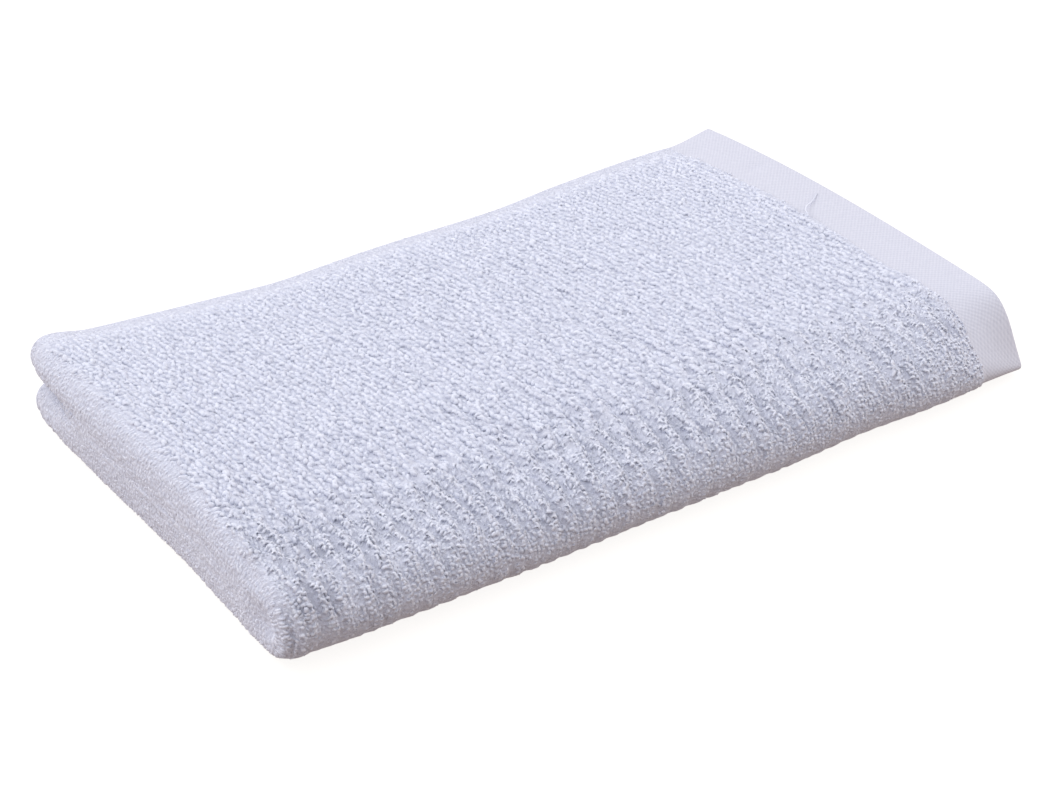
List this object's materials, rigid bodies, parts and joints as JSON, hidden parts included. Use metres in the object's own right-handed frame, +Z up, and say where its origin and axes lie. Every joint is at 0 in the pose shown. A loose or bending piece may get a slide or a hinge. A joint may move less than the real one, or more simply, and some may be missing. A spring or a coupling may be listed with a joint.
{
  "type": "hand towel",
  "caption": "Cotton terry hand towel, folded in half both ways into a soft flat stack, with flat woven headers at one end and plain selvage hems along the back.",
  "frame": {"origin": "on the surface the towel rests on, under the middle of its box", "axes": "+X along the towel from its folded end to its header ends, +Y from the front fold to the selvages, +Z up"},
  "size_m": [0.3512, 0.2186, 0.0396],
  "materials": {
    "cotton_terry": "white loop pile cotton, matt, with flat woven headers and selvages"
  },
  "bodies": {
    "root": {"towel": "cotton_terry"}
  },
  "joints": []
}
